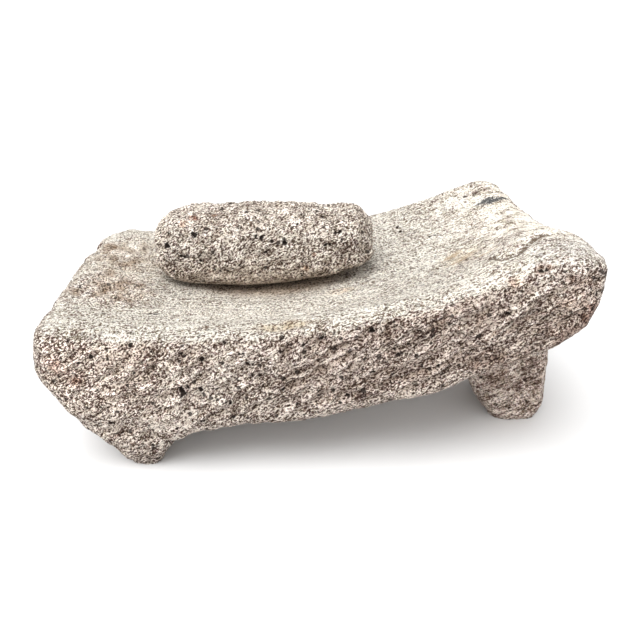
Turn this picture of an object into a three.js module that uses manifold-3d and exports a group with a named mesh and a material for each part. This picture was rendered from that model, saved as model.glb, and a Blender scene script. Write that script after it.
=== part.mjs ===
// A three-legged saddle quern with its handstone.
// The quern is one block of vesicular basalt: a sagging slab, hollowed by use along its length, on
// two stub feet at the low end and one taller leg at the high end. The handstone is a loaf-shaped
// cobble of the same rock that lies along the hollow. Millimetres, +X to the high end, +Z up.
import * as THREE from 'three';
import { mergeVertices } from 'three/addons/utils/BufferGeometryUtils.js';
import Module from 'manifold-3d';

const wasm = await Module();
wasm.setup();

// Slab
const SLAB_LENGTH = 422;
const SLAB_WIDTH = 248;
const SLAB_THICKNESS = 85;        // at mid length
const SLAB_THINNING = 6;          // thinner towards the high end, thicker towards the low end
const RIM_MID = 132;              // rim height over the ground at mid length
const RIM_TILT = 31;              // rise of the rim from mid length to the high end
const RIM_SAG = 37;               // how far both ends curl up over the straight tilt
const RIM_CURL = 5;               // a little more curl at the high end alone
const FAR_RIM_RISE = 2;           // far rim stands a little higher
const EDGE_ROUND = [24, 22, 18];  // rounding of the block's edges along its length, width and height
const SIDE_LEAN = 6;              // long sides draw in by this much at the underside
const SLAB_CELLS = [36, 20, 8];   // facets along, across and up

// Ends of the slab, as shares of its half length or of its thickness where no unit fits
const LOW_END_BEVEL = 24;         // low end face draws in by this much at the underside
const LOW_END_NOSE = 0.72;        // share of the thickness at which that bevel starts
const LOW_END_BULGE = 5;          // low end swells out by this much at its middle
const HIGH_END_BEVEL = 9;         // high end face draws in likewise
const HIGH_END_NOSE = 0.65;
const BEVEL_CURVE = 2;            // how suddenly the bevels turn in
const BEVEL_FROM = 0.6;           // share of the half length where the end bevels begin
const HIGH_END_DROOP = 24;        // the high end's lip is worn down over its last stretch
const DROOP_SPAN = [0.76, 1.06];
const FAR_CORNER_BACK = 20;       // high end is worn back towards its far corner
const FAR_CORNER_CHIP = 16;       // and a little more at the corner itself
const FAR_CORNER_FROM = 0.4;      // share of the half length where that wear begins
const FAR_WEAR_FROM = -0.1;       // share of the half width where the slanting wear begins
const FAR_CHIP_FROM = 0.7;        // and where the corner's own chip begins

// Grinding hollow
const HOLLOW_DEPTH = 17;
const HOLLOW_NEAR = -98;          // near edge of the hollow along most of the slab
const HOLLOW_FAR = 112;           // far edge
const HOLLOW_NEAR_SHIFT = 62;     // near edge runs off diagonally by this much at the high end
const HOLLOW_SHIFT_FROM = 0.25;   // share of the half length where it starts to
const HOLLOW_SHIFT_CURVE = 1.4;
const HOLLOW_ROUNDNESS = 2.3;     // power of the cross-section: 2 is a parabola, more is flatter
const HOLLOW_SPAN = [-1.05, -0.1]; // it deepens from the low end up to just short of mid length

// Feet: rings of [height, x low, x high, y near, y far], from the flat sole up into the slab
const STUB_RINGS = [
  [0, -151, -130, -101, -74],
  [6, -158, -126, -107, -67],
  [18, -163, -121, -112, -60],
  [32, -178, -107, -115, -54],
  [45, -192, -80, -116, -48],
  [66, -188, -71, -106, -44],
];
const LEG_RINGS = [
  [0, 161, 197, -46, 26],
  [8, 153, 206, -48, 30],
  [24, 143, 210, -50, 32],
  [45, 136, 208, -52, 34],
  [75, 131, 202, -54, 38],
  [105, 128, 197, -58, 42],
  [130, 130, 190, -56, 40],
];
const FOOT_SQUARENESS = 4.5;      // power of the rings: 2 is an ellipse, more is squarer
const FOOT_SIDES = 20;
const SEAM_WELD = 0.4;            // specks narrower than this along the cut seams are welded shut

// Handstone
const STONE_LENGTH = 191;
const STONE_DEPTH = 71;
const STONE_HEIGHT = 67;
const STONE_ROUND = [24, 28, 26]; // rounding of its upper half: ends, sides and top
const STONE_ROUND_BASE = [24, 20, 18]; // its lower half is squarer, worn flat from below
const STONE_CENTRE_X = -43.5;
const STONE_CENTRE_Y = 22;
const STONE_LOW_POINT = -21;      // lowest point of the rocker underside, from the stone's middle
const STONE_ROCKER = 22;          // rise of the underside at the far end of the rocker
const STONE_CROWN = 4;            // fall of its top towards both ends
const STONE_TAPER = 0.01;         // thinner towards the high end by this share each way
const STONE_CELLS = [20, 8, 8];   // facets along, across and up
const REST_GAP = 0.35;            // clearance kept where the handstone lies on the slab

const clamp01 = (value) => Math.min(Math.max(value, 0), 1);
const smooth = (from, to, value) => {
  const share = clamp01((value - from) / (to - from));
  return share * share * (3 - 2 * share);
};

// Moves a point of a block's surface onto the same block with rounded edges and corners.
function roundBlock(point, half, radius) {
  const inner = point.map((value, axis) => {
    const limit = half[axis] - radius[axis];
    return Math.min(Math.max(value, -limit), limit);
  });
  const over = point.map((value, axis) => (value - inner[axis]) / radius[axis]);
  const norm = Math.hypot(...over);
  return point.map((value, axis) => inner[axis] + over[axis] / norm * radius[axis]);
}

const lengthShare = (x) => x / (SLAB_LENGTH / 2);

function rimHeight(x) {
  const t = lengthShare(x);
  return RIM_MID + RIM_TILT * t + RIM_SAG * t * t + RIM_CURL * t * t * t;
}

function hollowDepth(x, y) {
  const t = lengthShare(x);
  const shift = smooth(HOLLOW_SHIFT_FROM, 1, t) ** HOLLOW_SHIFT_CURVE;
  const near = HOLLOW_NEAR + HOLLOW_NEAR_SHIFT * shift;
  const middle = (near + HOLLOW_FAR) / 2;
  const across = Math.abs(y - middle) / ((HOLLOW_FAR - near) / 2);
  return HOLLOW_DEPTH * smooth(...HOLLOW_SPAN, t) * Math.max(0, 1 - across ** HOLLOW_ROUNDNESS);
}

function topHeight(x, y) {
  const droop = HIGH_END_DROOP * smooth(...DROOP_SPAN, lengthShare(x));
  const farRise = FAR_RIM_RISE * smooth(0, SLAB_WIDTH / 2, y);
  return rimHeight(x) - hollowDepth(x, y) - droop + farRise;
}

function bottomHeight(x) {
  return rimHeight(x) - SLAB_THICKNESS + SLAB_THINNING * lengthShare(x);
}

// How far a point is moved along X by the shape of its end. u and v are shares of the half length and
// half width, and height is the share of the thickness from the underside up.
function endShift(u, v, height) {
  const reach = smooth(BEVEL_FROM, 1, Math.abs(u));
  if (u < 0) {
    const bevel = LOW_END_BEVEL * clamp01(1 - height / LOW_END_NOSE) ** BEVEL_CURVE;
    return reach * (bevel - LOW_END_BULGE * (1 - v * v));
  }
  const bevel = HIGH_END_BEVEL * clamp01(1 - height / HIGH_END_NOSE) ** BEVEL_CURVE;
  const worn = FAR_CORNER_BACK * smooth(FAR_WEAR_FROM, 1, v)
    + FAR_CORNER_CHIP * smooth(FAR_CHIP_FROM, 1, v);
  return -reach * bevel - smooth(FAR_CORNER_FROM, 1, u) * worn;
}

// The slab starts as a finely divided block. Its edges are rounded, its ends shaped, and its height is
// then laid between the curves of the underside and the worn top.
function slabGeometry() {
  const half = [SLAB_LENGTH / 2, SLAB_WIDTH / 2, SLAB_THICKNESS / 2];
  const geometry = new THREE.BoxGeometry(SLAB_LENGTH, SLAB_WIDTH, SLAB_THICKNESS, ...SLAB_CELLS);
  const place = geometry.attributes.position;
  for (let i = 0; i < place.count; i += 1) {
    const corner = [place.getX(i), place.getY(i), place.getZ(i)];
    const [along, across, up] = roundBlock(corner, half, EDGE_ROUND);
    const v = across / half[1];
    const height = (up / half[2] + 1) / 2;
    const x = along + endShift(along / half[0], v, height);
    const y = across - v * SIDE_LEAN * (1 - height);
    const z = THREE.MathUtils.lerp(bottomHeight(x), topHeight(x, y), height);
    place.setXYZ(i, x, y, z);
  }
  return geometry;
}

// A foot is lofted through its rings. The far stub is the near one mirrored across the slab, side < 0.
function footGeometry(rings, side) {
  const geometry = new THREE.CylinderGeometry(1, 1, 1, FOOT_SIDES, rings.length - 1);
  geometry.rotateX(Math.PI / 2);
  const place = geometry.attributes.position;
  const squared = (value) => Math.sign(value) * Math.abs(value) ** (2 / FOOT_SQUARENESS);
  for (let i = 0; i < place.count; i += 1) {
    const level = Math.round((place.getZ(i) + 0.5) * (rings.length - 1));
    const [z, xLow, xHigh, yNear, yFar] = rings[level];
    const x = (xLow + xHigh) / 2 + squared(place.getX(i)) * (xHigh - xLow) / 2;
    const y = (yNear + yFar) / 2 + squared(place.getY(i)) * (yFar - yNear) / 2;
    place.setXYZ(i, x, y * side, z);
  }
  if (side < 0) {
    const corners = geometry.index;
    for (let i = 0; i < corners.count; i += 3) {
      const first = corners.getX(i);
      corners.setX(i, corners.getX(i + 1));
      corners.setX(i + 1, first);
    }
  }
  return geometry;
}

// The handstone is a rounded block that tapers, with a crowned top and a rocker underside.
function handstoneGeometry() {
  const half = [STONE_LENGTH / 2, STONE_DEPTH / 2, STONE_HEIGHT / 2];
  const geometry = new THREE.BoxGeometry(STONE_LENGTH, STONE_DEPTH, STONE_HEIGHT, ...STONE_CELLS);
  const place = geometry.attributes.position;
  for (let i = 0; i < place.count; i += 1) {
    const corner = [place.getX(i), place.getY(i), place.getZ(i)];
    const [x, y, z] = roundBlock(corner, half, corner[2] < 0 ? STONE_ROUND_BASE : STONE_ROUND);
    const size = 1 - STONE_TAPER * x / half[0];
    const fromLow = (x - STONE_LOW_POINT) / (half[0] - STONE_LOW_POINT);
    const rocker = STONE_ROCKER * fromLow * fromLow * clamp01(-z / half[2]);
    const crown = STONE_CROWN * (x / half[0]) ** 2 * clamp01(z / half[2]);
    place.setXYZ(i, x, y * size, z * size + rocker - crown);
  }
  geometry.translate(STONE_CENTRE_X, STONE_CENTRE_Y, 0);
  return geometry;
}

// Lowers the handstone until its nearest point is one rest gap above the hollow.
function restOnSlab(geometry) {
  const place = geometry.attributes.position;
  let clearance = Infinity;
  for (let i = 0; i < place.count; i += 1) {
    clearance = Math.min(clearance, place.getZ(i) - topHeight(place.getX(i), place.getY(i)));
  }
  geometry.translate(0, 0, REST_GAP - clearance);
  return geometry;
}

function toSolid(geometry, weld = 1e-3) {
  const bare = geometry.clone();
  bare.deleteAttribute('normal');
  bare.deleteAttribute('uv');
  const merged = mergeVertices(bare, weld);
  return new wasm.Manifold(new wasm.Mesh({
    numProp: 3,
    vertProperties: new Float32Array(merged.attributes.position.array),
    triVerts: new Uint32Array(merged.index.array),
  }));
}

function toGeometry(solid) {
  const mesh = solid.getMesh();
  const geometry = new THREE.BufferGeometry();
  geometry.setAttribute('position', new THREE.BufferAttribute(mesh.vertProperties, 3));
  geometry.setIndex(new THREE.BufferAttribute(mesh.triVerts, 1));
  geometry.computeVertexNormals();
  return geometry;
}

// Slab and feet are one carved block.
function quernSlab() {
  const block = toSolid(slabGeometry())
    .add(toSolid(footGeometry(STUB_RINGS, 1)))
    .add(toSolid(footGeometry(STUB_RINGS, -1)))
    .add(toSolid(footGeometry(LEG_RINGS, 1)));
  const basalt = new THREE.MeshStandardMaterial({ color: 0xb3a597, roughness: 0.95, metalness: 0 });
  const slab = new THREE.Mesh(toGeometry(toSolid(toGeometry(block), SEAM_WELD)), basalt);
  slab.name = 'quern_slab';
  return slab;
}

function handstone() {
  const basalt = new THREE.MeshStandardMaterial({ color: 0xa89b8f, roughness: 0.95, metalness: 0 });
  const stone = new THREE.Mesh(toGeometry(toSolid(restOnSlab(handstoneGeometry()))), basalt);
  stone.name = 'handstone';
  return stone;
}

// The origin is the middle of the footprint, on the ground.
const quern = new THREE.Group();
quern.add(quernSlab(), handstone());
const bounds = new THREE.Box3().setFromObject(quern);
const middle = bounds.getCenter(new THREE.Vector3());
quern.position.set(-middle.x, -middle.y, -bounds.min.z);

export default quern;
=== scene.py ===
import math

import bmesh
import bpy
import numpy as np
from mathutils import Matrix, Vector, kdtree, noise


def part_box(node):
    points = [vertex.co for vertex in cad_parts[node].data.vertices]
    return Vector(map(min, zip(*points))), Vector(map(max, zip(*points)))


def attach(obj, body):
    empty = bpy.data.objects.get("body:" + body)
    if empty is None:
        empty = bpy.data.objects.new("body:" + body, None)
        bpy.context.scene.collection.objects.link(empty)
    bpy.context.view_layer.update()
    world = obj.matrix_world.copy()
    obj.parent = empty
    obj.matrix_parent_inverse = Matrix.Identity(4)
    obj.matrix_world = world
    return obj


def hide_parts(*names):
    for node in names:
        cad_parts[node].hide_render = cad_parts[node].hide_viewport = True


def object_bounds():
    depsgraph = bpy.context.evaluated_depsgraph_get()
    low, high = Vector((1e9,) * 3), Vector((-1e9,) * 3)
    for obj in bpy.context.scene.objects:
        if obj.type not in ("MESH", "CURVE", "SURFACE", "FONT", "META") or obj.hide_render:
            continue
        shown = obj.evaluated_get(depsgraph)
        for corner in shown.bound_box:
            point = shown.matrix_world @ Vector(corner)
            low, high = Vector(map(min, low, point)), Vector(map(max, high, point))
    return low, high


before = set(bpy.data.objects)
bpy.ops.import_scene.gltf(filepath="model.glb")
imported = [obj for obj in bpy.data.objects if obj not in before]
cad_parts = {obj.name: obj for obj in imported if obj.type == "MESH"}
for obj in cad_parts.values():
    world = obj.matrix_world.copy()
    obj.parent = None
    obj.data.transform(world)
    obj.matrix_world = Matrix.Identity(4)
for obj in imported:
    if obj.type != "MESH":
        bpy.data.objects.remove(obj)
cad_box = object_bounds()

# Studio: a plain pale floor under a pale sky, a broad soft lamp overhead and a weak one in front.
# The camera looks down on the near long side, with the raised end to the right.
FLOOR_SIDE = 160
FLOOR_GREY = 0.80
SKY_STRENGTH = 0.85
LAMPS = (                         # name, strength, spread in degrees and tilt from straight down
    ("overhead_lamp", 2.7, 45, (20, -16, 0)),
    ("front_fill", 0.7, 80, (62, 0, -20)),
)
VIEW_PITCH = math.radians(26.27)
VIEW_TURN = math.radians(1.09)
VIEW_DISTANCE = 0.6213
AIM_FROM_MIDDLE = Vector((0.0073, 0, -0.0120))
LENS_LENGTH = 38.25
SENSOR_WIDTH = 36

scene = bpy.context.scene
scene.view_settings.view_transform = "Standard"

floor_mesh = bpy.data.meshes.new("studio_floor")
floor_shape = bmesh.new()
bmesh.ops.create_grid(floor_shape, x_segments=1, y_segments=1, size=FLOOR_SIDE / 2)
floor_shape.to_mesh(floor_mesh)
floor_shape.free()
floor_paint = bpy.data.materials.new("pale_floor")
floor_paint.use_nodes = True
floor_finish = floor_paint.node_tree.nodes["Principled BSDF"].inputs
floor_finish["Base Color"].default_value = (FLOOR_GREY, FLOOR_GREY, FLOOR_GREY, 1)
floor_finish["Roughness"].default_value = 0.9
floor_finish["Specular IOR Level"].default_value = 0.1
floor_mesh.materials.append(floor_paint)
floor = bpy.data.objects.new("studio_floor", floor_mesh)
scene.collection.objects.link(floor)

sky = bpy.data.worlds.new("studio_sky")
sky.use_nodes = True
sky.node_tree.nodes["Background"].inputs["Color"].default_value = (1, 1, 1, 1)
sky.node_tree.nodes["Background"].inputs["Strength"].default_value = SKY_STRENGTH
scene.world = sky

for lamp_name, strength, spread, tilt in LAMPS:
    lamp_light = bpy.data.lights.new(lamp_name, "SUN")
    lamp_light.energy = strength
    lamp_light.angle = math.radians(spread)
    lamp = bpy.data.objects.new(lamp_name, lamp_light)
    lamp.rotation_euler = [math.radians(turn) for turn in tilt]
    scene.collection.objects.link(lamp)

view_lens = bpy.data.cameras.new("studio_camera")
view_lens.lens = LENS_LENGTH
view_lens.sensor_width = SENSOR_WIDTH
camera = bpy.data.objects.new("studio_camera", view_lens)
sight = Vector((
    math.sin(VIEW_TURN) * math.cos(VIEW_PITCH),
    math.cos(VIEW_TURN) * math.cos(VIEW_PITCH),
    -math.sin(VIEW_PITCH),
))
middle = (Vector(cad_box[0]) + Vector(cad_box[1])) / 2
camera.location = middle + AIM_FROM_MIDDLE - VIEW_DISTANCE * sight
camera.rotation_euler = sight.to_track_quat("-Z", "Y").to_euler()
scene.collection.objects.link(camera)
scene.camera = camera

# Quern: one carved block of vesicular basalt, a sagging slab on two stub feet and a taller leg.
# Pecked and weathered rough on its sides, worn pale and smooth along the hollow and its rims,
# with open gas pores, slanting layers and old knocks at its ends.
QUERN_GRID = 0.0024               # squares of the first even mesh
QUERN_RUBBING = 14                # passes that round the inner corners of the feet
QUERN_TRIANGLES = 196000
SKIN = 0.0009                     # how far the stone's high spots stand out of the CAD solid
SOLE_SKIN = 0.0012                # what lies this near the ground on a sole is flat on it
LAYER_SLOPE = math.radians(33)    # the rock's layers rise towards the raised end
LAYER_PITCH = 0.0115              # the broken layers' thickness where they show
LAYER_LIP = 0.0030                # how far a broken layer's lower lip stands out
LIP_RISE = 0.2                    # the share of a layer's thickness that lies under the next lip
LAYER_WAVES = 0.0014              # the height of the waves along the layers
LUMP_HEIGHT = 0.0012
SCAR_BUMPS = 0.0010               # the height of the bumps on the broken left end
FURROW_DEPTH = 0.0024
FURROW_WIDTH = 0.0034
PORE_REACH = 1.4                  # how many of its radii a ragged pore reaches at most
PORE_DEPTH = 1.3                  # how many of its radii a pore goes in
NOISE_SPREAD = 0.45               # dividing the noise by this brings it mostly within -1 and 1


def apply_modifiers(piece):
    """Bakes a piece's modifiers into its mesh."""
    shown = piece.evaluated_get(bpy.context.evaluated_depsgraph_get())
    shaped = bpy.data.meshes.new_from_object(shown)
    piece.modifiers.clear()
    piece.data = shaped


def read_points(piece):
    """The mesh's points and their outward directions, as two arrays."""
    count = len(piece.data.vertices)
    places = np.empty(count * 3)
    outward = np.empty(count * 3, np.float32)
    piece.data.vertices.foreach_get("co", places)
    piece.data.vertex_normals.foreach_get("vector", outward)
    return places.reshape(-1, 3), outward.reshape(-1, 3).astype(float)


def stone_blank(node, name, grid, rubbing, softness):
    """A copy of a CAD solid with an even mesh of half-grid squares, rubbed by its softness map."""
    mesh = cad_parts[node].data.copy()
    merged = bmesh.new()
    merged.from_mesh(mesh)
    bmesh.ops.remove_doubles(merged, verts=merged.verts, dist=1e-5)
    merged.to_mesh(mesh)
    merged.free()
    blank = bpy.data.objects.new(name, mesh)
    scene.collection.objects.link(blank)
    even = blank.modifiers.new("even", "REMESH")
    even.mode = "VOXEL"
    even.voxel_size = grid
    apply_modifiers(blank)
    soft_part = blank.vertex_groups.new(name="soft_part")
    for point, share in enumerate(softness(read_points(blank)[0])):
        soft_part.add([point], share, "REPLACE")
    rubbed = blank.modifiers.new("rubbed", "SMOOTH")
    rubbed.factor = 0.5
    rubbed.iterations = rubbing
    rubbed.vertex_group = "soft_part"
    finer = blank.modifiers.new("finer", "SUBSURF")
    finer.levels = 1
    finer.render_levels = 1
    apply_modifiers(blank)
    blank.vertex_groups.clear()
    return blank


def ease(values, low, high):
    """0 below low and 1 above high, turning smoothly between them."""
    share = np.clip((values - low) / (high - low), 0, 1)
    return share * share * (3 - 2 * share)


def waves(places, size, octaves=3, shift=0.0):
    """Fractal noise at each place, mostly within -1 and 1. size is its longest waves' length."""
    points = (places / np.array(size) + shift).tolist()
    return np.array([noise.fractal(point, 1.0, 2.0, octaves) for point in points]) / NOISE_SPREAD


def along_layers(places, slope):
    """The places seen along layers that rise towards +X at that slope: along, across and up."""
    return np.column_stack((
        places[:, 0] * math.cos(slope) + places[:, 2] * math.sin(slope),
        places[:, 1],
        places[:, 2] * math.cos(slope) - places[:, 0] * math.sin(slope),
    ))


def blob(places, centre, radii):
    """1 at the centre, falling smoothly to 0 at the radii."""
    far = np.linalg.norm((places - np.array(centre)) / np.array(radii), axis=1)
    return 1 - ease(far, 0.0, 1.0)


def near_line(places, line):
    """How far each place is from a line through a few points."""
    best = np.full(len(places), np.inf)
    for start, end in zip(line[:-1], line[1:]):
        run = np.array(end) - np.array(start)
        share = np.clip((places - np.array(start)) @ run / (run @ run), 0, 1)
        best = np.minimum(best, np.linalg.norm(places - start - np.outer(share, run), axis=1))
    return best


def flake_off(places, centre, facing, reach):
    """Knocks a flake off: what stands past a plane is pushed back onto it, within reach."""
    facing = np.array(Vector(facing).normalized())
    from_centre = places - np.array(centre)
    proud = np.maximum(from_centre @ facing, 0)
    near = 1 - ease(np.linalg.norm(from_centre, axis=1), 0.65 * reach, reach)
    return places - np.outer(proud * near, facing)


def plant_tree(places):
    """A tree that finds the points near a place."""
    tree = kdtree.KDTree(len(places))
    for index, place in enumerate(places.tolist()):
        tree.insert(place, index)
    tree.balance()
    return tree


def cut_pores(places, tree, pores, ragged):
    """How deep the given pores, pairs of centre and radius, go at each place."""
    depth = np.zeros(len(places))
    for centre, size in pores:
        middle = tree.find(centre)[0]
        for _, index, distance in tree.find_range(middle, size * PORE_REACH):
            share = distance / size * ragged[index]
            if share < 1:
                bowl = size * PORE_DEPTH * (1 - share * share) ** 0.7
                depth[index] = max(depth[index], bowl)
    return depth


def scatter_pores(places, chance, count, radii, seed):
    """Random pore centres and radii. chance is how likely each place is, radii the size range."""
    dice = np.random.default_rng(seed)
    picked = dice.choice(len(places), count, replace=False, p=chance / chance.sum())
    sizes = radii[0] * (radii[1] / radii[0]) ** (dice.random(count) ** 2.5)
    return list(zip(places[picked], sizes))


def lapped_layers(layered, pitch, drift):
    """Broken layers that lap like boards: 1 on each lower lip, 0 under the lip of the next one."""
    step = (layered[:, 2] + drift) / pitch % 1.0
    fall = 1 - LIP_RISE
    return np.where(step < fall, 1 - step / fall, (step - fall) / LIP_RISE)


def brighten(tint, share, hue=(1, 1, 1)):
    """Brightens the tint by each point's share, times a number for each colour. Below 0 darkens."""
    tint *= 1 + share[:, None] * np.array(hue)


def add_stains(tint, places, stains):
    """Each stain multiplies the tint by its colour at its centre, and fades out raggedly."""
    uneven = 1.2 + 0.9 * waves(places, 0.006, 3, 6.1)
    for centre, radii, colour in stains:
        share = np.clip(blob(places, centre, radii) * uneven, 0, 1)
        tint *= 1 - share[:, None] * (1 - np.array(colour))


def store(piece, name, values):
    """Keeps a number or a colour per point on the mesh, for the material."""
    if values.ndim == 1:
        layer = piece.data.attributes.new(name, "FLOAT", "POINT")
        layer.data.foreach_set("value", values.astype(np.float32))
    else:
        layer = piece.data.attributes.new(name, "FLOAT_COLOR", "POINT")
        solid = np.column_stack((values, np.ones(len(values)))).astype(np.float32)
        layer.data.foreach_set("color", solid.ravel())


def thin_to(piece, triangles):
    """Joins the smallest and flattest faces until that many triangles are left."""
    piece.data.calc_loop_triangles()
    thin = piece.modifiers.new("thin", "DECIMATE")
    thin.ratio = triangles / len(piece.data.loop_triangles)
    apply_modifiers(piece)
    for face in piece.data.polygons:
        face.use_smooth = True


def foot_softness(places):
    """The slab is rubbed a little all over, and well where the feet grow out of it."""
    above_soles = ease(places[:, 2], 0.003, 0.014)
    foot_height = ease(places[:, 2], 0.014, 0.030) * (1 - ease(places[:, 2], 0.095, 0.115))
    below_slab = foot_height * (1 - ease(np.abs(places[:, 1]), 0.118, 0.121))
    at_feet = 1 - ease(places[:, 0], -0.065, -0.045) + ease(places[:, 0], 0.105, 0.125)
    return np.clip(0.12 * above_soles + 0.88 * below_slab * at_feet, 0, 1)


quern = stone_blank("quern_slab", "carved_quern", QUERN_GRID, QUERN_RUBBING, foot_softness)
places, outward = read_points(quern)

# the larger knocks: a place on the broken face, the way that it faces, and its reach
KNOCKS = (
    # the left end's far corner
    ((-0.205, 0.060, 0.122), (-0.80, 0.25, 0.55), 0.020),
    ((-0.197, 0.100, 0.122), (-0.62, 0.62, 0.30), 0.028),
    # the leg
    ((0.156, -0.048, 0.018), (-0.75, -0.62, -0.22), 0.034),
    ((0.2025, -0.048, 0.003), (0.80, -0.35, -0.50), 0.024),
    ((0.2040, -0.043, 0.052), (0.90, -0.42, 0.00), 0.040),
    # the raised end's underside
    ((0.201, -0.117, 0.126), (0.75, -0.20, -0.62), 0.030),
    # the near stub foot
    ((-0.116, -0.107, 0.016), (0.86, -0.42, 0.10), 0.022),
    ((-0.121, -0.108, 0.010), (0.66, -0.25, -0.70), 0.020),
    # the left end's edge
    ((-0.2025, -0.046, 0.1285), (-0.80, 0.00, 0.60), 0.034),
)
for centre, facing, reach in KNOCKS:
    places = flake_off(places, centre, facing, reach)

# where it is worn: the upward faces, less so at the broken left end and on the near right lobe;
# pale_left is the left part of the long sides, where light is painted, and shaded their darker and
# pinker middle, where shade is painted
worn = ease(outward[:, 2] + 0.10 * waves(places, 0.012), 0.66, 0.94)
left_scar = ease(blob(places, (-0.168, -0.034, 0.125), (0.052, 0.048, 0.05)), 0.0, 0.5)
far_scar = blob(places, (-0.176, 0.045, 0.128), (0.050, 0.060, 0.05))
right_lobe = blob(places, (0.188, -0.098, 0.182), (0.060, 0.052, 0.05))
worn = worn * (1 - 0.75 * left_scar) * (1 - 0.5 * far_scar) * (1 - 0.5 * right_lobe)
rough = 1 - worn
flank = rough * ease(np.abs(outward[:, 1]), 0.55, 0.97)
flank *= 1 - 0.7 * ease(-outward[:, 2], 0.12, 0.30)
pale_left = 1 - ease(places[:, 0], -0.190, -0.050)
shaded = ease(places[:, 0], -0.06, 0.02) * (1 - ease(places[:, 0], 0.12, 0.18))

# the long sides' broken layers, which lap like boards, and the lumps along them
layered = along_layers(places, LAYER_SLOPE)
drift = 0.0060 * waves(layered, (0.060, 0.030, 0.022), 3, 2.7)
drift += 0.0014 * waves(layered, 0.009, 2, 8.8)
lip = lapped_layers(layered, LAYER_PITCH, drift)
broken = flank * ease(waves(layered, (0.050, 0.030, 0.020), 2, 4.4), -0.5, 0.5)
broken *= 1 - 0.5 * pale_left
lumps = np.clip(waves(layered, (0.013, 0.010, 0.0055), 3, 3.1), -1.3, 1.3)

# the coarse relief: bumps, broken layers, lumps, the broken left end, and faint rubbing streaks
relief = SKIN - 0.0010 * worn - 0.0010 * flank
relief += rough * (0.0006 * waves(places, 0.034, 2) + 0.0004 * waves(places, 0.008, 4, 3.1))
relief += LAYER_LIP * broken * (lip - 0.55)
relief += LAYER_WAVES * flank * (1 - 0.6 * pale_left) * waves(layered, (0.026, 0.020, 0.0065), 3, 7.7)
relief += LUMP_HEIGHT * flank * lumps
relief += SCAR_BUMPS * (left_scar + far_scar) * waves(places, (0.016, 0.010, 0.006), 3, 2.2)
relief += worn * 0.0005 * waves(places, 0.025, 2, 1.3)
relief += worn * 0.00035 * waves(places, (0.070, 0.0045, 0.02), 3, 5.5)

# hollows and broken spots: centre, radii and depth; below 0 it is a swelling
HOLLOWS = (
    # along the near long side, from its worn rim down
    ((-0.026, -0.1085, 0.1265), (0.028, 0.0065, 0.008), 0.0034),
    ((0.006, -0.118, 0.126), (0.005, 0.007, 0.009), 0.0045),
    ((0.043, -0.121, 0.129), (0.009, 0.007, 0.007), 0.0045),
    ((-0.022, -0.122, 0.104), (0.007, 0.007, 0.009), 0.0030),
    ((-0.036, -0.122, 0.091), (0.013, 0.007, 0.005), 0.0036),
    ((-0.096, -0.121, 0.081), (0.010, 0.007, 0.007), 0.0030),
    ((-0.129, -0.115, 0.038), (0.010, 0.010, 0.006), 0.0040),
    ((-0.176, -0.122, 0.091), (0.008, 0.007, 0.004), 0.0030),
    # on the worn top: the slope, the left end, and the dip beside the near right lobe
    ((0.120, -0.016, 0.1465), (0.018, 0.009, 0.010), 0.0016),
    ((-0.165, 0.005, 0.125), (0.020, 0.030, 0.010), 0.0016),
    ((0.200, -0.032, 0.178), (0.040, 0.026, 0.020), 0.0050),
    # pits below the lobe
    ((0.163, -0.115, 0.175), (0.009, 0.006, 0.005), 0.0036),
    ((0.143, -0.117, 0.166), (0.008, 0.006, 0.006), 0.0020),
    # swellings of the lower edge, the near foot and the left end
    ((-0.088, -0.116, 0.044), (0.045, 0.030, 0.024), -0.0046),
    ((-0.010, -0.112, 0.052), (0.045, 0.030, 0.020), -0.0022),
    ((0.088, -0.113, 0.078), (0.042, 0.030, 0.022), -0.0040),
    ((-0.109, -0.114, 0.030), (0.015, 0.025, 0.015), -0.0040),
    ((-0.205, -0.105, 0.088), (0.022, 0.025, 0.025), -0.0035),
)
for centre, radii, deep in HOLLOWS:
    relief -= deep * blob(places, centre, radii)

# a wavy furrow between the hollow and the near right lobe
FURROW = (
    (0.131, -0.065, 0.161),
    (0.144, -0.083, 0.171),
    (0.154, -0.082, 0.175),
    (0.163, -0.074, 0.179),
    (0.173, -0.066, 0.182),
    (0.182, -0.064, 0.183),
)
furrow = near_line(places, FURROW)
relief -= FURROW_DEPTH * np.exp(-(furrow / FURROW_WIDTH) ** 2)

# open gas pores: scattered ones, mostly on the rough stone and the broken left end, and the large
# ones that mark this quern
LARGE_PORES = (
    # the near long side
    ((-0.098, -0.121, 0.078), 0.0029),
    ((-0.095, -0.121, 0.083), 0.0017),
    ((-0.085, -0.121, 0.080), 0.0019),
    ((-0.072, -0.121, 0.076), 0.0016),
    ((-0.064, -0.120, 0.068), 0.0017),
    ((-0.133, -0.118, 0.119), 0.0020),
    ((-0.162, -0.122, 0.110), 0.0017),
    ((-0.054, -0.122, 0.112), 0.0019),
    ((-0.082, -0.122, 0.108), 0.0017),
    ((-0.127, -0.116, 0.042), 0.0020),
    ((-0.156, -0.117, 0.050), 0.0020),
    ((0.006, -0.119, 0.125), 0.0022),
    ((0.043, -0.121, 0.130), 0.0024),
    ((0.044, -0.121, 0.096), 0.0021),
    ((-0.007, -0.122, 0.119), 0.0016),
    ((0.070, -0.122, 0.120), 0.0018),
    # the worn top
    ((-0.128, -0.072, 0.122), 0.0019),
    ((-0.124, -0.072, 0.122), 0.0023),
    ((0.087, 0.071, 0.140), 0.0021),
    ((0.084, 0.081, 0.142), 0.0017),
    ((0.100, 0.064, 0.143), 0.0016),
    ((0.111, 0.044, 0.143), 0.0020),
    ((0.115, 0.046, 0.145), 0.0016),
    ((0.075, 0.063, 0.135), 0.0014),
    ((0.151, 0.091, 0.168), 0.0017),
    # below the lobe
    ((0.161, -0.115, 0.175), 0.0016),
    ((0.165, -0.115, 0.176), 0.0018),
)
# pores are painted dark, as their shade with some dirt
PORE_SHADE_DEPTH = 0.0018                # a pore this deep is dark all over
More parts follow.
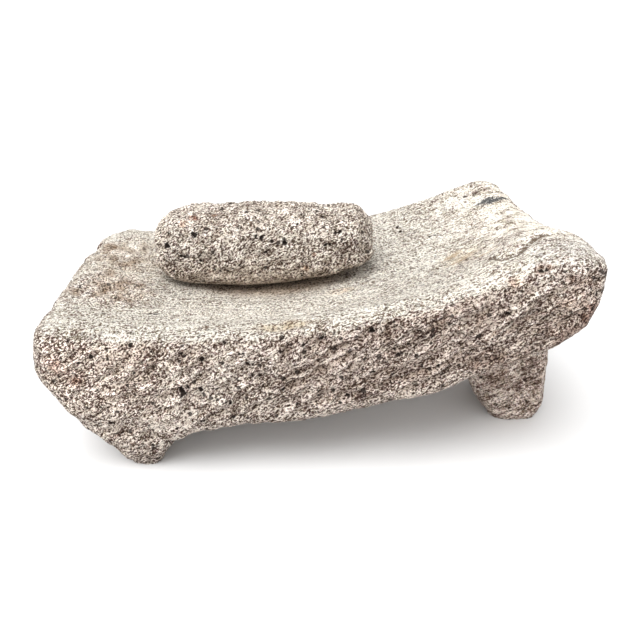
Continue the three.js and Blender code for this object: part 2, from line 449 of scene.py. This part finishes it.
ragged = 1 + 0.35 * waves(places, 0.004, 2, 9.9)
pores = scatter_pores(places, 0.02 + rough ** 2, 420, (0.0010, 0.0019), 11)
pores += scatter_pores(places, left_scar + 0.4 * far_scar, 60, (0.0010, 0.0016), 7)
pores += LARGE_PORES
depth = cut_pores(places, plant_tree(places), pores, ragged)
places += outward * (relief - depth)[:, None]
on_sole = (places[:, 2] < SOLE_SKIN + SKIN) & (outward[:, 2] < -0.6)
places[on_sole, 2] = 0
places[:, 2] = np.maximum(places[:, 2], 0)
quern.data.vertices.foreach_set("co", places.ravel())

# painted shade with some dirt in the recesses of the layers and lumps, painted highlights on their
# lips and tops, painted light on the left part and painted shade on the middle of the long sides,
# the darker feet, the pale hollow and lobe, and the mottled left end
tint = np.ones_like(places)
right_part = ease(places[:, 0], 0.14, 0.20)
near_ground = 1 - ease(places[:, 2], 0.040, 0.085)
pale_hollow = blob(places, (-0.04, -0.060, 0.118), (0.19, 0.055, 0.050))
mottle = (left_scar + far_scar) * waves(places, (0.010, 0.015, 0.020), 3, 6.6)
# painted shade under the layers' lips and a painted highlight on each lip, with some dirt in the
# recesses
brighten(tint, -broken * (0.55 * (1 - lip) - 0.12), (0.85, 1.0, 1.1))
# painted light on the left part of the long sides and painted shade on their middle; the right part is
# a little paler
brighten(tint, flank * (0.38 * pale_left - 0.12 * shaded + 0.08 * right_part))
# painted highlights on the lumps and painted shade with some dirt between them
brighten(tint, flank * (0.20 - 0.10 * pale_left) * lumps, (0.9, 1.0, 1.1))
brighten(tint, -(0.07 + 0.09 * pale_left) * near_ground)
brighten(tint, 0.17 * pale_hollow)
brighten(tint, -flank * shaded, (0.02, 0.06, 0.07))
brighten(tint, right_lobe, (0.05, 0.09, 0.13))
brighten(tint, 0.36 * mottle, (0.85, 1.0, 1.15))

# stains, and painted shade on the raised end's underside: centre, radii and what the colour is
# multiplied by
STAINS_AND_UNDERSIDE_SHADE = (
    # the near rim, the slope and the left end's side
    ((-0.020, -0.107, 0.127), (0.036, 0.010, 0.010), (0.76, 0.68, 0.57)),
    ((0.128, -0.022, 0.150), (0.034, 0.030, 0.016), (0.97, 0.93, 0.87)),
    ((-0.188, -0.122, 0.104), (0.014, 0.012, 0.012), (1.05, 0.88, 0.82)),
    ((-0.176, -0.122, 0.091), (0.010, 0.010, 0.007), (0.74, 0.58, 0.51)),
    # the worn top of the left end, and the hollow by the handstone
    ((-0.170, 0.035, 0.126), (0.060, 0.090, 0.030), (1.00, 0.96, 0.92)),
    ((-0.190, 0.052, 0.130), (0.012, 0.022, 0.020), (0.76, 0.69, 0.63)),
    ((-0.168, 0.025, 0.126), (0.012, 0.016, 0.020), (0.76, 0.69, 0.63)),
    ((-0.176, 0.000, 0.127), (0.010, 0.012, 0.020), (0.78, 0.70, 0.64)),
    ((-0.165, -0.036, 0.125), (0.044, 0.042, 0.020), (1.02, 0.97, 0.92)),
    ((0.024, -0.028, 0.120), (0.020, 0.010, 0.010), (0.95, 0.86, 0.78)),
    # the raised end, from its pits down to its underside, with brown stains and painted shade towards
    # the underside
    ((0.163, -0.115, 0.175), (0.009, 0.007, 0.006), (0.56, 0.42, 0.35)),
    ((0.143, -0.117, 0.166), (0.008, 0.008, 0.006), (0.98, 0.87, 0.80)),
    ((0.190, -0.122, 0.166), (0.026, 0.014, 0.014), (0.76, 0.68, 0.65)),
    ((0.186, -0.122, 0.150), (0.022, 0.012, 0.012), (0.84, 0.75, 0.71)),
    ((0.148, -0.117, 0.102), (0.050, 0.022, 0.018), (0.66, 0.58, 0.54)),
    ((0.186, -0.116, 0.127), (0.044, 0.028, 0.026), (0.58, 0.50, 0.47)),
    ((0.202, -0.116, 0.140), (0.014, 0.016, 0.020), (0.72, 0.60, 0.56)),
)
add_stains(tint, places, STAINS_AND_UNDERSIDE_SHADE)

# painted shade with brown grime around and under the handstone, and the leg's browner stone; the leg
# and the raised end are calmer
shade_and_grime_by_handstone = blob(places, (-0.040, 0.018, 0.115), (0.122, 0.056, 0.040))
leg = ease(places[:, 0], 0.120, 0.128) * (1 - ease(places[:, 2], 0.060, 0.085))
right_end = ease(places[:, 0], 0.08, 0.19) * worn
brighten(tint, -ease(shade_and_grime_by_handstone, 0.0, 0.6), (0.39, 0.48, 0.55))
brighten(tint, -leg, (0.05, 0.07, 0.07))
store(quern, "tint", tint)
store(quern, "worn", worn)
store(quern, "calm", np.clip(0.85 * leg + right_end, 0, 1))
store(quern, "pore", np.clip(depth / PORE_SHADE_DEPTH, 0, 1))
thin_to(quern, QUERN_TRIANGLES)


class Wire:
    """One output of a shader node. Sums, differences and products of wires add their Math nodes."""

    def __init__(self, tree, socket=None):
        self.tree = tree
        self.socket = socket

    def node(self, kind, settings=None, values=None, output=0):
        """Adds a node: its settings first, then what each of its sockets holds or is linked to."""
        made = self.tree.nodes.new(kind)
        for name, setting in (settings or {}).items():
            if name == "stops":
                for place, stop in enumerate(setting):
                    ramp = made.color_ramp.elements
                    point = ramp[place] if place < 2 else ramp.new(stop[0])
                    point.position = stop[0]
                    point.color = (*stop[1], 1)
            else:
                setattr(made, name, setting)
        for name, value in (values or {}).items():
            if isinstance(value, Wire):
                self.tree.links.new(value.socket, made.inputs[name])
            else:
                made.inputs[name].default_value = value
        return Wire(self.tree, made.outputs[output])

    def math(self, operation, *values):
        return self.node("ShaderNodeMath", {"operation": operation}, dict(enumerate(values)))

    def __add__(self, other):
        return self.math("ADD", self, other)

    def __radd__(self, other):
        return self.math("ADD", other, self)

    def __sub__(self, other):
        return self.math("SUBTRACT", self, other)

    def __rsub__(self, other):
        return self.math("SUBTRACT", other, self)

    def __mul__(self, other):
        return self.math("MULTIPLY", self, other)

    def __rmul__(self, other):
        return self.math("MULTIPLY", other, self)

    def eased(self, low, high):
        """0 at low and 1 at high, turning smoothly between them."""
        return self.node("ShaderNodeMapRange", {"interpolation_type": "SMOOTHSTEP"},
                         {"Value": self, "From Min": low, "From Max": high})


# the painted shade, with some dirt, in pores, pocks and bubbles
PORE_SHADE_BLACK = (0.020, 0.012, 0.009)
TONE_STOPS = (0.0, 0.48, 1.0)     # where a stone's dark, middle and pale tones lie
GRAIN_SIZE = 0.0013               # crystals
DUST_SIZE = 0.0007
STREAK_SIZE = 0.0022              # streaks along the layers
RUBBING_SIZE = 0.0020             # streaks of rubbing
PATCH_SIZE = 0.007
DRIFT_SIZE = 0.035                # the broadest changes of tone
HUE_SIZE = 0.0035
POCK_SPACING = 0.0027
BUBBLE_SPACING = 0.0055
RAGGED_SCALE = 900                # what makes the pocks and bubbles ragged, in waves per metre
RAGGED_REACH = 0.0014
RUBBING_TURN = math.radians(8)    # the streaks of rubbing lie a little across the slab's length
BUMP_DEPTH = 0.0036
STONE_ROUGHNESS = 0.92
STONE_SPECULAR = 0.25


def basalt(name, fresh, worn_tones, scrapes=()):
    """Vesicular basalt: dark pores, brown ground mass and pale crystals, bleached where worn.

    fresh and worn_tones each hold a dark, a middle and a pale tone. Each of the scrapes is a centre,
    a turn, three radii and a colour.
    """
    material = bpy.data.materials.new(name)
    material.use_nodes = True
    tree = material.node_tree
    rock = Wire(tree)
    where = rock.node("ShaderNodeTexCoord", output="Object")

    def cloud(size, detail=2.0, roughness=0.55, place=where):
        return rock.node("ShaderNodeTexNoise", {}, {
            "Vector": place, "Scale": 1 / size, "Detail": detail, "Roughness": roughness})

    def stretched(turn, lengths, centre=(0, 0, 0)):
        """The places in a frame of its own, where a pattern comes out turned and that much longer."""
        return rock.node("ShaderNodeMapping", {"vector_type": "TEXTURE"}, {
            "Vector": where, "Location": centre, "Rotation": turn, "Scale": lengths})

    def mixed(share, one, other, blend="MIX"):
        """Mixes two colours. 0, 6 and 7 are the Mix node's sockets for colours, and 2 is its result."""
        made = rock.node("ShaderNodeMix", {"data_type": "RGBA", "blend_type": blend}, {}, 2)
        inputs = made.socket.node.inputs
        for place, value in ((0, share), (6, one), (7, other)):
            if isinstance(value, Wire):
                tree.links.new(value.socket, inputs[place])
            else:
                inputs[place].default_value = value if place == 0 else (*value, 1)
        return made

    def kept(name, output="Fac"):
        return rock.node("ShaderNodeAttribute", {"attribute_name": name}, output=output)

    def toned(tone, tones):
        stops = tuple(zip(TONE_STOPS, tones))
        return rock.node("ShaderNodeValToRGB", {"stops": stops}, {"Fac": tone})

    # the patterns: crystals and dust, streaks along the layers, streaks of rubbing, patches
    worn = kept("worn")
    calm = kept("calm")
    layers = stretched((0, -LAYER_SLOPE, 0), (1.7, 1, 1))
    threads = stretched((0, -LAYER_SLOPE, 0), (6, 2, 1))
    combed = stretched((0, 0, RUBBING_TURN), (9, 1, 4))
    grain = cloud(GRAIN_SIZE, 2.0, 0.6, layers)
    dust = cloud(DUST_SIZE, 1.0, 0.5)
    streak = cloud(STREAK_SIZE, 2.0, 0.6, threads)
    rubbing = cloud(RUBBING_SIZE, 2.0, 0.6, combed)
    patch = cloud(PATCH_SIZE, 3.0, 0.55, layers)
    broad = cloud(DRIFT_SIZE, 2.0)

    # pocks, and round gas bubbles of which only the few largest show
    warp = rock.node("ShaderNodeTexNoise", {}, {"Vector": where, "Scale": RAGGED_SCALE}, "Color")
    ragged = rock.node("ShaderNodeVectorMath", {"operation": "MULTIPLY_ADD"}, {
        0: warp, 1: (RAGGED_REACH, RAGGED_REACH, RAGGED_REACH), 2: where})
    cells = rock.node("ShaderNodeTexVoronoi", {}, {"Vector": ragged, "Scale": 1 / POCK_SPACING})
    pock = (1 - cells.eased(0.10, 0.40)) * patch.eased(0.36, 0.62)
    bubbles = {"Vector": ragged, "Scale": 1 / BUBBLE_SPACING}
    size = rock.node("ShaderNodeTexVoronoi", {}, bubbles, "Color")
    size = rock.node("ShaderNodeSeparateColor", {}, {"Color": size}, "Red")
    from_middle = rock.node("ShaderNodeTexVoronoi", {}, bubbles)
    hole = (size * size * size * 0.42 - from_middle).eased(0.0, 0.07)
    hole = hole * (1 - worn * 0.55) * (1 - calm * 0.6)

    # the stone's colour: dark, middle and pale tones, a little uneven hue, and the stored tint
    speckle = ((grain - 0.5) * 6.6 + (dust - 0.5) * 3.8) * (1 - calm * 0.55)
    lines = (streak - 0.5) * 1.9 * (1 - worn) + (rubbing - 0.5) * 2.0 * worn
    drifts = lines + (patch - 0.5) * (1.2 + calm * 0.8) + (broad - 0.5) * 0.9
    tone = speckle + drifts + 0.5
    colour = mixed(worn, toned(tone, fresh), toned(tone, worn_tones))
    hue = rock.node("ShaderNodeTexNoise", {}, {
        "Vector": where, "Scale": 1 / HUE_SIZE, "Detail": 2}, "Color")
    colour = mixed(0.16, colour, hue, "OVERLAY")
    colour = mixed(1.0, colour, kept("tint", "Color"), "MULTIPLY")

    # scrapes, each in a long ragged spot, and then painted shade with some dirt in pocks, pores and
    # bubbles
    for centre, turn, radii, scrape_colour in scrapes:
        along = stretched(turn, radii, centre)
        far = rock.node("ShaderNodeVectorMath", {"operation": "LENGTH"}, {0: along}, "Value")
        far = far + (dust - 0.5) * 1.5 + (grain - 0.5) * 1.5
        colour = mixed((1 - far.eased(0.55, 1.0)) * 0.9, colour, scrape_colour)
    colour = mixed(pock * (1 - worn * 0.7) * 0.6, colour, fresh[0])
    pore = (kept("pore") + (dust - 0.5) * 0.8).eased(0.30, 0.75)
    colour = mixed(1 - (1 - pore * 0.97) * (1 - hole * 0.88), colour, PORE_SHADE_BLACK)

    relief = (grain + dust * 0.4) * (1 - calm * 0.5) + streak * 0.25 - pock * 0.25 - hole * 0.45
    bump = rock.node("ShaderNodeBump", {}, {
        "Height": relief, "Distance": BUMP_DEPTH, "Strength": 1.0})
    finish = tree.nodes["Principled BSDF"].inputs
    tree.links.new(colour.socket, finish["Base Color"])
    tree.links.new(bump.socket, finish["Normal"])
    finish["Roughness"].default_value = STONE_ROUGHNESS
    finish["Specular IOR Level"].default_value = STONE_SPECULAR
    return material


def laid_along(start, end):
    """The middle of a line, the turn that lays +X along it, and half its length."""
    run = Vector(end) - Vector(start)
    centre = (Vector(start) + Vector(end)) / 2
    return centre, run.to_track_quat("X", "Z").to_euler(), run.length / 2


# slate-grey strokes by the far right corner, tan ones down the slope, and the line of the furrow:
# start, end, width and colour
SLATE = (0.032, 0.035, 0.041)
TAN = (0.50, 0.38, 0.26)
FURROW_BROWN = (0.13, 0.092, 0.064)
SCRAPE_OVERRUN = 1.6              # a scrape's ragged ends fade out, so its spot is this much longer
SCRAPE_DEPTH = 0.014              # how far above and below its line a scrape is painted
STROKES = (
    ((0.160, 0.071, 0.166), (0.176, 0.076, 0.170), 0.0048, SLATE),
    ((0.166, 0.067, 0.168), (0.181, 0.074, 0.171), 0.0040, SLATE),
    ((0.180, 0.076, 0.171), (0.190, 0.079, 0.172), 0.0026, SLATE),
    ((0.112, -0.016, 0.143), (0.128, -0.007, 0.149), 0.0030, TAN),
    ((0.114, -0.034, 0.146), (0.131, -0.029, 0.152), 0.0034, TAN),
    ((0.120, -0.027, 0.147), (0.136, -0.022, 0.154), 0.0030, TAN),
    ((0.134, -0.045, 0.156), (0.150, -0.042, 0.164), 0.0036, TAN),
    *((start, end, FURROW_WIDTH, FURROW_BROWN) for start, end in zip(FURROW[:-1], FURROW[1:])),
)
scrapes = []
for start, end, width, scrape_colour in STROKES:
    centre, turn, half = laid_along(start, end)
    scrapes.append((centre, turn, (half * SCRAPE_OVERRUN, width, SCRAPE_DEPTH), scrape_colour))

QUERN_FRESH = ((0.052, 0.029, 0.020), (0.36, 0.262, 0.208), (1.0, 0.90, 0.80))
QUERN_WORN = ((0.15, 0.105, 0.073), (0.88, 0.80, 0.685), (1.0, 0.965, 0.885))
quern.data.materials.clear()
quern.data.materials.append(basalt("quern_basalt", QUERN_FRESH, QUERN_WORN, scrapes))
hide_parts("quern_slab")
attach(quern, "root")

# Handstone: a loose loaf-shaped cobble of the same basalt, coarser and full of open pores.
# It lies along the hollow, and its underside is worn a little smoother by rubbing.
HANDSTONE_GRID = 0.0014           # squares of the first even mesh
HANDSTONE_RUBBING = 6             # passes that round its corners
HANDSTONE_TRIANGLES = 150000


def handstone_softness(places):
    """The handstone is rubbed evenly."""
    return np.full(len(places), 0.5)


handstone = stone_blank(
    "handstone", "grinding_handstone", HANDSTONE_GRID, HANDSTONE_RUBBING, handstone_softness)
places, outward = read_points(handstone)
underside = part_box("handstone")[0].z

# a knock on the left end's top, and then coarse lumps all over, less where it is rubbed
places = flake_off(places, (-0.117, 0.030, 0.1737), (-0.30, 0.0, 0.95), 0.034)
rubbed = 1 - ease(places[:, 2] + 0.003 * waves(places, 0.02), underside + 0.006, underside + 0.018)
rough = 1 - 0.8 * rubbed
lumps = np.clip(waves(places, 0.0085, 3, 2.2), -1.3, 1.3)
relief = rough * (0.0008 * waves(places, 0.022, 2) + 0.0010 * lumps) - 0.0004

# swellings at the right end's top and the left end: centre, radii and height
HANDSTONE_SWELLINGS = (
    ((0.040, 0.020, 0.176), (0.028, 0.040, 0.020), 0.0030),
    ((-0.136, 0.004, 0.158), (0.020, 0.045, 0.020), 0.0026),
)
for centre, radii, height in HANDSTONE_SWELLINGS:
    relief += height * blob(places, centre, radii)

# open gas pores: scattered ones, and the large ones on its near side
LARGE_HANDSTONE_PORES = (
    ((-0.122, -0.011, 0.156), 0.0030),
    ((-0.099, -0.011, 0.165), 0.0021),
    ((-0.111, -0.014, 0.148), 0.0012),
    ((-0.108, -0.014, 0.147), 0.0012),
    ((-0.047, -0.011, 0.165), 0.0013),
    ((-0.043, -0.012, 0.163), 0.0019),
    ((-0.034, -0.012, 0.160), 0.0014),
    ((-0.023, -0.013, 0.159), 0.0021),
    ((0.012, -0.013, 0.156), 0.0016),
    ((0.020, -0.009, 0.166), 0.0015),
    ((0.024, -0.009, 0.167), 0.0017),
)
# its pores are painted dark too, as their shade with some dirt
HANDSTONE_PORE_SHADE_DEPTH = 0.0012      # a pore this deep is dark all over
ragged = 1 + 0.35 * waves(places, 0.003, 2, 9.9)
pores = scatter_pores(places, 0.05 + rough ** 2, 150, (0.0008, 0.0013), 5)
pores += LARGE_HANDSTONE_PORES
depth = cut_pores(places, plant_tree(places), pores, ragged)
places += outward * (relief - depth)[:, None]
handstone.data.vertices.foreach_set("co", places.ravel())

# painted light on the top and left end, a browner lower part, painted shade with some dirt between
# the lumps and painted highlights on them, and brick-red stains
HANDSTONE_STAINS = (
    ((-0.101, 0.003, 0.177), (0.007, 0.006, 0.006), (0.54, 0.35, 0.29)),
    ((-0.108, -0.003, 0.173), (0.006, 0.005, 0.005), (0.86, 0.68, 0.60)),
    ((-0.083, 0.006, 0.179), (0.005, 0.005, 0.005), (0.62, 0.46, 0.38)),
    ((0.002, -0.013, 0.148), (0.003, 0.003, 0.003), (1.10, 0.58, 0.40)),
    ((-0.006, -0.013, 0.136), (0.006, 0.005, 0.005), (0.92, 0.76, 0.64)),
)
tint = np.ones_like(places)
lower = 1 - ease(places[:, 2], underside + 0.012, underside + 0.036)
# painted light on the faces turned up and to the left
brighten(tint, 0.14 * ease(outward[:, 2], 0.30, 0.90))
brighten(tint, 0.22 * ease(-outward[:, 0], 0.30, 0.95))
brighten(tint, -lower, (0.12, 0.16, 0.20))
# painted highlights on the lumps and painted shade with some dirt between them
brighten(tint, rough * 0.19 * lumps, (0.9, 1.0, 1.1))
add_stains(tint, places, HANDSTONE_STAINS)
store(handstone, "tint", tint)
store(handstone, "worn", 0.45 * rubbed)
store(handstone, "calm", 0.6 * rubbed)
store(handstone, "pore", np.clip(depth / HANDSTONE_PORE_SHADE_DEPTH, 0, 1))
thin_to(handstone, HANDSTONE_TRIANGLES)

HANDSTONE_FRESH = ((0.060, 0.036, 0.025), (0.46, 0.360, 0.290), (1.0, 0.92, 0.82))
HANDSTONE_WORN = ((0.20, 0.16, 0.13), (0.46, 0.40, 0.34), (0.82, 0.75, 0.66))
handstone.data.materials.clear()
handstone.data.materials.append(basalt("handstone_basalt", HANDSTONE_FRESH, HANDSTONE_WORN))
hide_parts("handstone")
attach(handstone, "root")
